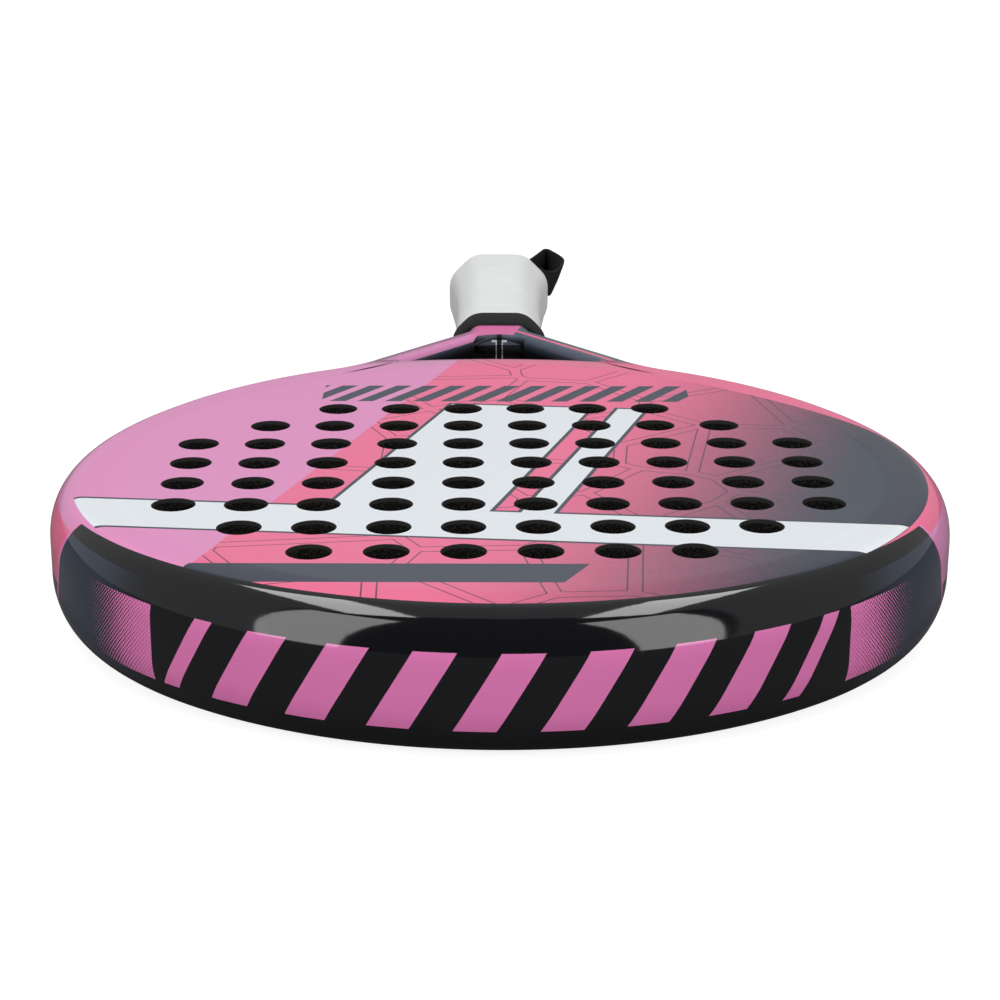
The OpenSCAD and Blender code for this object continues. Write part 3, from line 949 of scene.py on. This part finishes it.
def build_face(name, node, top, inside):
    """Flat drilled sheet; top is its outer height and inside the direction into the racket."""
    plan, triangles = drilled_sheet()
    meshes = [([(p.x, p.y, top) for p in plan], triangles)]
    for centre in hole_centres():
        rings = []
        for radius, depth in ((HOLE_R + HOLE_EASE, 0), (HOLE_R, HOLE_EASE), (HOLE_R, SHEET_T)):
            rings.append([(p.x, p.y, top + inside * depth) for p in hole_ring(centre, radius)])
        meshes.append(loft(rings))
    verts, faces = join(meshes)
    kinds = [0] * len(triangles) + [1] * (len(faces) - len(triangles))
    add_piece(name, (verts, faces), [LACQUER, CUT_EDGE], node, face_material=kinds)


YOKE_COLUMNS = 12
YOKE_ROWS = 10
COLUMN_GAP = 0.2
SLIT_EDGE_R = 1.2
SLIT_FLARE = 1.4
FLARE_HEIGHT = 6.0
FLARE_STEPS = 6


def yoke_front(side):
    """Plan line of the yoke's front, from the axis (0) to an arm (1 or -1)."""
    return Vector((side * inner_x(YOKE_CORNER_Y), mix(YOKE_Y, YOKE_CORNER_Y, side ** 2)))


def yoke_round(side):
    """Radius of the yoke's front edges, from the axis (0) to an arm (1 or -1)."""
    return mix(YOKE_EDGE_R, INNER_ROUND, side ** 2)


def slit_profile(flare):
    """The yoke's front with its slit; flare widens the slit."""
    half = SLIT_W / 2 + flare
    right = [Vector((half, YOKE_Y + SLIT_DEPTH))]
    for a in quarter_turn(INNER_STEPS):
        right.append(Vector((half + SLIT_EDGE_R * (1 - cos(a)), YOKE_Y + SLIT_EDGE_R * (1 - sin(a)))))
    fronts = [yoke_front(i / YOKE_COLUMNS) for i in range(1, YOKE_COLUMNS + 1)]
    right += [p for p in fronts if p.x > right[-1].x + COLUMN_GAP]
    return [Vector((-p.x, p.y)) for p in reversed(right)] + right


def yoke_side(half):
    """Upper (1) or lower (-1) side of the yoke, from its rounded front edge back to the shoulder."""
    length = SHOULDER_Y - YOKE_CORNER_Y
    runs = [(1 - cos(a)) * INNER_ROUND for a in quarter_turn(INNER_STEPS)]
    runs += [mix(INNER_ROUND, length, i / YOKE_ROWS) for i in range(1, YOKE_ROWS + 1)]
    rows = []
    for run in runs:
        row = []
        for i in range(-YOKE_COLUMNS, YOKE_COLUMNS + 1):
            side = i / YOKE_COLUMNS
            y = mix(yoke_front(side).y, SHOULDER_Y, run / length)
            radius = yoke_round(side)
            rise = half_thickness(y) - edge_drop(radius - run, radius)
            row.append((side * inner_x(YOKE_CORNER_Y + run), y, MID_Z + half * rise))
        rows.append(row)
    return rows


def slit_wall():
    """Front wall of the yoke with its slit, which flares towards the upper and lower sides."""
    base = half_thickness(YOKE_Y) - FLARE_HEIGHT
    levels = [i / FLARE_STEPS for i in range(FLARE_STEPS + 1)]
    rows = []
    for half, shares in ((-1, reversed(levels)), (1, levels)):
        for f in shares:
            row = []
            for p in slit_profile(SLIT_FLARE * f * f):
                top = half_thickness(p.y) - yoke_round(p.x / inner_x(YOKE_CORNER_Y))
                row.append((p.x, p.y, MID_Z + half * mix(base, top, f)))
            rows.append(row)
    return rows


def build_yoke():
    """Yoke: upper and lower side, front wall, and the flat ends of the wall."""
    wall = slit_wall()
    meshes = [loft(yoke_side(half), closed=False) for half in (1, -1)]
    meshes.append(loft(wall, closed=False))
    meshes += [(row, [tuple(range(len(row)))]) for row in (wall[0], wall[-1])]
    add_piece("throat_yoke_shell", join(meshes), [LACQUER], "throat_yoke")


# Handle

RING_POINTS = 96
CORNER_EASE = 3.2
EASE_STEPS = 5


def grown(section, by):
    """Section moved out evenly on all sides; a section is (half width, half thickness, bevel)."""
    return (section[0] + by, section[1] + by, section[2] + by * (2 - sqrt(2)))


def octagon(section):
    """Corners of a section."""
    w, t, b = section
    return [Vector(p) for p in (
        (w, b - t), (w, t - b), (w - b, t), (b - w, t), (-w, t - b), (-w, b - t), (b - w, -t), (w - b, -t)
    )]


def soft_octagon(section, ease):
    """Eight-sided handle section with eased corners, as points evenly spaced along it."""
    corners = octagon(section)
    path = []
    for i, corner in enumerate(corners):
        before = corner + ease * (corners[i - 1] - corner).normalized()
        after = corner + ease * (corners[(i + 1) % len(corners)] - corner).normalized()
        for k in range(EASE_STEPS + 1):
            f = k / EASE_STEPS
            path.append(before.lerp(corner, f).lerp(corner.lerp(after, f), f))
    return resampled(path, RING_POINTS)


def resampled(path, count):
    """Points evenly spaced along a closed line."""
    sides = [(path[(i + 1) % len(path)] - p).length for i, p in enumerate(path)]
    step = sum(sides) / count
    points, i, gone = [], 0, 0.0
    for k in range(count):
        while gone + sides[i] < k * step:
            gone += sides[i]
            i += 1
        f = (k * step - gone) / sides[i]
        points.append(path[i].lerp(path[(i + 1) % len(path)], f))
    return points


BARE_SECTION = (STEM_HALF, STEM_T / 2, HANDLE_BEVEL)


def mixed(a, b, f):
    return tuple(mix(p, q, f) for p, q in zip(a, b))


def grip_section(y):
    """Outer section of the wrapped handle: even, then widening smoothly to the butt."""
    even = grown(BARE_SECTION, WRAPS_T)
    flare = max(0.0, (y - FLARE_Y) / (GRIP_END_Y - FLARE_Y))
    width, _, bevel = mixed(even, BUTT_SECTION, flare ** 2)
    thick = mix(even[1], BUTT_SECTION[1], ramp(y, FLARE_Y, CAP_Y))
    return width, thick, bevel


WRAP_PITCH = 21.0
WRAP_STEP = 0.15
WRAP_EDGE_SHARE = 0.06
WRAP_FALL = 1.5
WRAP_EASE = 4.2
CORNER_FILL = 1.6


def wrap_height(y, turn):
    """Height of the overlapping strip: highest at its edge, falling towards the next turn."""
    f = (y - GRIP_Y) / WRAP_PITCH + turn
    f -= floor(f)
    edge = ramp(f, 0.0, WRAP_EDGE_SHARE)
    return WRAP_STEP * edge * (1 - f) ** WRAP_FALL


def handle_ring(y, section, lift=None, ease=CORNER_EASE):
    """Ring of a section across the handle; lift gives its height at a share of the way round."""
    ring = []
    points = soft_octagon(section, ease)
    for i, p in enumerate(points):
        along = points[(i + 1) % RING_POINTS] - points[i - 1]
        normal = Vector((along.y, -along.x)).normalized()
        q = p + normal * (lift(i / RING_POINTS) if lift else 0.0)
        ring.append((q.x, y, MID_Z + q.y))
    return ring


def filled(section):
    """Section of the stretched wrap, which lies fuller over the bevels than what is under it."""
    width, thick, bevel = grown(section, -WRAP_STEP)
    return width, thick, bevel - CORNER_FILL


OVERGRIP_RINGS = 110
# Rolled end of the overgrip, as (distance from its end, inset)
OVERGRIP_ROLL = ((0.5, 0.0), (0.25, 0.2), (0.05, 0.7), (0.0, 1.6), (0.3, 2.4))


def build_overgrip():
    """Wound strip from under the collar to its rolled end at the butt."""
    roll_start = GRIP_END_Y - OVERGRIP_ROLL[0][0]
    rings = []
    for i in range(OVERGRIP_RINGS + 1):
        y = mix(GRIP_Y, roll_start, i / OVERGRIP_RINGS)
        rings.append(handle_ring(y, filled(grip_section(y)), lambda turn: wrap_height(y, turn), WRAP_EASE))
    for back, inset in OVERGRIP_ROLL[1:]:
        rings.append(handle_ring(GRIP_END_Y - back, filled(grown(BUTT_SECTION, -inset)), ease=WRAP_EASE))
    add_piece("overgrip_wrap", loft(rings), [WHITE_WRAP], "overgrip", sharp=80)


COLLAR_CROWN = 0.4
COLLAR_BEVEL = 8.0
COLLAR_EASE = 4.0
# Ends of the collar, as (distance from the end, growth)
COLLAR_FRONT = ((0.6, -2.6), (0.0, -1.6), (0.1, -0.7), (0.6, -0.2), (1.5, 0.0))
COLLAR_BACK = ((1.0, -0.1), (0.3, -0.35), (0.0, -0.8))


def build_collar():
    """Rubber ring with rounded ends over the front of the wrap."""
    outer = (STEM_HALF + COLLAR_STEP, STEM_T / 2 + COLLAR_STEP + COLLAR_CROWN, COLLAR_BEVEL)
    profile = list(COLLAR_FRONT) + [(COLLAR_LENGTH - back, by) for back, by in COLLAR_BACK]
    rings = [handle_ring(COLLAR_Y + y, grown(outer, by), ease=COLLAR_EASE) for y, by in profile]
    add_piece("grip_collar_sleeve", loft(rings), [COLLAR_RUBBER], "grip_collar", sharp=60)


# Lip of the butt cap, as (distance from its end, growth), and the strap's slot in it
CAP_LIP = ((4.0, 0.0), (2.0, 0.0), (0.9, -0.15), (0.3, -0.6), (0.0, -1.5))
SLOT_HALF_W = 3.5
SLOT_FLARE = (1.15, 1.08)
SLOT_EDGE = 0.5


def build_cap():
    """End of the butt cap: a rounded lip and an end face with the strap's slot."""
    end = grown(BUTT_SECTION, -WRAPS_T)
    rings = [handle_ring(BUTT_Y - back, grown(end, by)) for back, by in CAP_LIP]
    slot_h = STRAP_W / 2 + STRAP_PLAY
    slot = soft_box(SLOT_HALF_W, slot_h, power_w=0.5, power_h=0.35, count=RING_POINTS, start=-pi / 6)
    flare_w, flare_h = SLOT_FLARE
    rings.append([(x * flare_w, BUTT_Y, MID_Z + z * flare_h) for x, z in slot])
    for back in (SLOT_EDGE, CAP_END):
        rings.append([(x, BUTT_Y - back, MID_Z + z) for x, z in slot])
    add_piece("butt_cap_end", loft(rings), [CAP_PLASTIC], "butt_cap", sharp=60)


# Strap: points are (across, past the butt end, height of the webbing's lower edge above the floor)

LEG_RIGHT = ((3, 11, 12.5), (16, 53.5, 8.6))
LEG_LEFT = ((-1.3, 12.2, 12.5), (11.7, 54.7, 8.6))
LEG_FRACTIONS = (0, 0.1, 0.9, 1)
LOOP = (
    (17.8, 59.2, 7), (20, 65.5, 4.9), (22.6, 72.5, 2.6), (25.2, 80.3, 0.8), (26.6, 87.5, 0.1),
    (27.9, 95, 0), (29, 102.5, 0), (29.9, 109.5, 0), (30.2, 115, 0), (29.6, 120.5, 0),
    (28.5, 126, 0), (27.3, 131.2, 0), (26.2, 135.5, 0), (25.6, 138.2, 0), (25.1, 139.6, 0),
    (24.2, 140.3, 0), (23.3, 139.8, 0), (22.8, 138.4, 0), (21.6, 134, 0), (19.8, 127.5, 0),
    (18, 121, 0), (16.6, 115, 0.3), (15.7, 108, 1), (15.2, 100, 2), (15, 91, 3.4),
    (15.1, 82, 4.9), (15, 73, 6.4), (14.2, 64.5, 7.6),
)
OUT_OF_SLOT = (1.7, 6, 12.9)
BACK_TO_SLOT = (-1.6, 6.5, 12.9)
LEG_OFFSET = 1.3
ANCHOR_FACE = -8.0
SLOT_Z = MID_Z - STRAP_W / 2
STRAP_STEPS = 6
STRAP_SIDES = 24


def strap_route():
    """Middle line of the strap: out of the cap, along one leg, round the loop and back."""
    out = [(LEG_OFFSET, ANCHOR_FACE, SLOT_Z), (LEG_OFFSET, 0, SLOT_Z), OUT_OF_SLOT]
    home = [BACK_TO_SLOT, (-LEG_OFFSET, 0, SLOT_Z), (-LEG_OFFSET, ANCHOR_FACE, SLOT_Z)]
    points = out + leg_points(*LEG_RIGHT) + list(LOOP) + leg_points(*reversed(LEG_LEFT)) + home
    return [Vector((x, BUTT_Y + y, z + STRAP_W / 2)) for x, y, z in points]


def leg_points(start, end):
    return [mixed(start, end, f) for f in LEG_FRACTIONS]


def curve_through(points, steps):
    """Smooth line through points, with even parameter steps between neighbours."""
    line = []
    last = len(points) - 1
    for i in range(last):
        before, start = points[max(i - 1, 0)], points[i]
        end, after = points[i + 1], points[min(i + 2, last)]
        span = (end - start).length
        leave = (end - before).normalized() * span
        arrive = (after - start).normalized() * span
        for k in range(steps):
            f = k / steps
            line.append(
                start * (2 * f ** 3 - 3 * f ** 2 + 1) + leave * (f ** 3 - 2 * f ** 2 + f)
                + end * (3 * f ** 2 - 2 * f ** 3) + arrive * (f ** 3 - f ** 2)
            )
    line.append(points[-1])
    return line


def strap_section():
    """Section of the webbing with rounded edges, as (thickness, width) offsets."""
    return soft_box(STRAP_T / 2, STRAP_W / 2, power_w=0.4, power_h=0.55, count=STRAP_SIDES)


LEAN = radians(20)
LEAN_RISE = (73.0, 118.0)
LEAN_FALL = (156.0, 134.0)


def loop_lean(run):
    """Angle by which the loop's near side leans outwards, between the leg and the far fold."""
    return LEAN * ramp(run, *LEAN_RISE) * ramp(run, *LEAN_FALL)


def build_strap(keeper):
    """Webbing swept along its route, standing on edge but for the loop's lean."""
    line = curve_through(strap_route(), STRAP_STEPS)
    section = strap_section()
    rings, runs, run = [], [], 0.0
    for i, p in enumerate(line):
        ahead = (line[min(i + 1, len(line) - 1)] - line[max(i - 1, 0)]).normalized()
        side = ahead.cross(UP).normalized()
        run += (p - line[i - 1]).length if i else 0.0
        runs.append(run)
        up = Matrix.Rotation(loop_lean(run), 3, ahead) @ side.cross(ahead)
        side = ahead.cross(up)
        rings.append([p + t * side + w * up for t, w in section])
    mesh = loft(rings, capped=True)
    piece = add_piece("wrist_strap_webbing", mesh, [WEBBING], "wrist_strap", sharp=70)
    map_along(piece, line, runs)
    runs[-1] * MM
    [tuple(p * MM) for p in line]


def map_along(piece, line, runs):
    """UV map with the distance along and across the strap, in millimetres."""
    layer = piece.data.uv_layers.new(name="along_strap")
    ring = len(strap_section())
    for loop in piece.data.loops:
        station = min(loop.vertex_index // ring, len(line) - 1)
        point = piece.data.vertices[loop.vertex_index].co / MM
        layer.data[loop.index].uv = (runs[station], point.z - line[station].z)


KEEPER_LENGTH = 9.0
KEEPER_WALL = 1.8
KEEPER_EASE = 0.6
KEEPER_PLACE = 0.8
KEEPER_POWER = 0.3
KEEPER_SIDES = 64


def keeper_frame():
    """Keeper's centre, its directions along, beside and up the legs, and the legs' distance apart."""
    start, end = [Vector(mixed(right, left, 0.5)) for right, left in zip(LEG_RIGHT, LEG_LEFT)]
    shift = Vector((0, BUTT_Y, STRAP_W / 2))
    ahead = (end - start).normalized()
    side = ahead.cross(UP).normalized()
    apart = abs((Vector(LEG_RIGHT[0]) - Vector(LEG_LEFT[0])).dot(side))
    return start.lerp(end, KEEPER_PLACE) + shift, ahead, side, side.cross(ahead), apart


def build_keeper():
    """Soft-edged square ring that slides on the strap's two legs."""
    centre, ahead, side, up, apart = keeper_frame()
    hole_w = apart / 2 + STRAP_T / 2 + STRAP_PLAY
    hole_h = STRAP_W / 2 + STRAP_PLAY
    half = KEEPER_LENGTH / 2
    flat = half - KEEPER_EASE
    far_end = [(flat, KEEPER_WALL), (half, KEEPER_WALL - KEEPER_EASE), (half, KEEPER_EASE), (flat, 0.0)]
    near_end = [(-run, lift) for run, lift in reversed(far_end)]
    rings = []
    for run, lift in near_end + far_end:
        outline = soft_box(hole_w + lift, hole_h + lift, KEEPER_POWER, KEEPER_POWER, KEEPER_SIDES)
        rings.append([centre + run * ahead + w * side + h * up for w, h in outline])
    rings.append(rings[0])
    return add_piece(
        "strap_keeper_ring", loft(rings), [KEEPER_PLASTIC],
        node="strap_keeper", body="keeper", sharp=60,
    )


# Stage: camera, floor, light


def place_camera():
    """The photograph's view, found from the hole pattern and the head's outline."""
    elevation, yaw, roll = radians(17.71), radians(0.17), radians(0.19)
    data = bpy.data.cameras.new("camera")
    data.sensor_width = 36.0
    data.lens = 76.68
    data.clip_start = 0.01
    camera = add_object("camera", data)
    place = Matrix.Translation(Vector((-1.8, -697.7, 218.2)) * MM)
    for angle, axis in ((-yaw, "Z"), (pi / 2 - elevation, "X"), (roll, "Z")):
        place = place @ Matrix.Rotation(angle, 4, axis)
    camera.matrix_world = place
    bpy.context.scene.camera = camera


FLOOR_REACH = 1.4
FLOOR_GAP = 0.0002
FLOOR_GREY = 0.32
FLOOR_GREY_REFLECTED = 0.13
FLOOR_GLOW = 0.86


def make_floor():
    """Pale floor: white to the camera but for the object's shadow, dark in the lacquer's reflections."""
    shader = Shader("floor_pale")
    material = shader.set(
        Base_Color=shader.rays("Glossy") * (FLOOR_GREY_REFLECTED - FLOOR_GREY) + FLOOR_GREY,
        Roughness=1.0,
        Specular_IOR_Level=0.0,
        Emission_Color=(1, 1, 1, 1),
        Emission_Strength=shader.rays("Camera") * FLOOR_GLOW,
    )
    mesh = bpy.data.meshes.new("floor")
    corners = [(x * FLOOR_REACH, y * FLOOR_REACH, 0) for x, y in ((-1, -1), (1, -1), (1, 1), (-1, 1))]
    mesh.from_pydata(corners, [], [(0, 1, 2, 3)])
    mesh.materials.append(material)
    floor_object = add_object("floor", mesh)
    floor_object.location.z = -FLOOR_GAP


ROOM_DARK = 0.05
ROOM_LIT = 0.36
ROOM_EDGE = 0.06
ROOM_TILT = 0.3
SIDE_NARROWING = 1.3


def make_world():
    """White to the camera; to the object a grey room that is lit behind and beside it and dark in front."""
    world = bpy.data.worlds.new("studio")
    bpy.context.scene.world = world
    world.use_nodes = True
    sky = NodeTree(world.node_tree)
    x, y, z = sky.split(sky.node("TexCoord").outputs["Generated"])
    behind = y + z * ROOM_TILT
    beside = x.size() - y.size() * SIDE_NARROWING - z.size() * ROOM_TILT
    lit = (behind.either(beside) / ROOM_EDGE).held()
    room = lit * (ROOM_LIT - ROOM_DARK) + ROOM_DARK
    white = sky.rays("Camera").either(sky.rays("Transmission"))
    sky.fill(sky.nodes["Background"], Color=(1, 1, 1, 1), Strength=room.either(white))


def add_softbox(name, place, away, width, height, radiance):
    """Rectangular lamp at a place in metres; away points from what it lights to the lamp."""
    data = bpy.data.lights.new(name, "AREA")
    data.shape = "RECTANGLE"
    data.size = width
    data.size_y = height
    data.energy = radiance * pi * width * height
    lamp = add_object(name, data)
    lamp.location = place
    lamp.rotation_euler = away.to_track_quat("Z", "Y").to_euler()
    lamp.visible_camera = False


def light_scene():
    """A tall softbox in front on each side, and a strip overhead on each side, along the racket."""
    make_world()
    head = Vector((0, -0.1, 0.02))
    distance, elevation = 1.6, radians(23)
    for side, azimuth in (("left", radians(-45)), ("right", radians(40))):
        level = Vector((sin(azimuth), -cos(azimuth), 0))
        away = level * cos(elevation) + UP * sin(elevation)
        place = head + distance * away
        add_softbox(f"softbox_front_{side}", place, away, width=0.6, height=1.9, radiance=3.3)
    for side, x in (("left", -0.58), ("right", 0.58)):
        place = Vector((x, 0.03, 1.54))
        add_softbox(f"softbox_top_{side}", place, UP, width=0.38, height=1.45, radiance=5.5)


def main():
    """Build the pieces, give the other CAD nodes their materials, and set the stage."""
    place_camera()
    build_strap(build_keeper())
    build_frame()
    build_bridge()
    build_face("face_front_sheet", "face_sheet_front", THICKNESS, -1)
    build_face("face_back_sheet", "face_sheet_back", 0.0, 1)
    build_yoke()
    build_overgrip()
    build_collar()
    build_cap()
    for node, material in NODE_MATERIALS.items():
        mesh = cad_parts[node].data
        mesh.materials.clear()
        mesh.materials.append(material)
    make_floor()
    light_scene()
    bpy.context.scene.view_settings.view_transform = "Standard"


main()
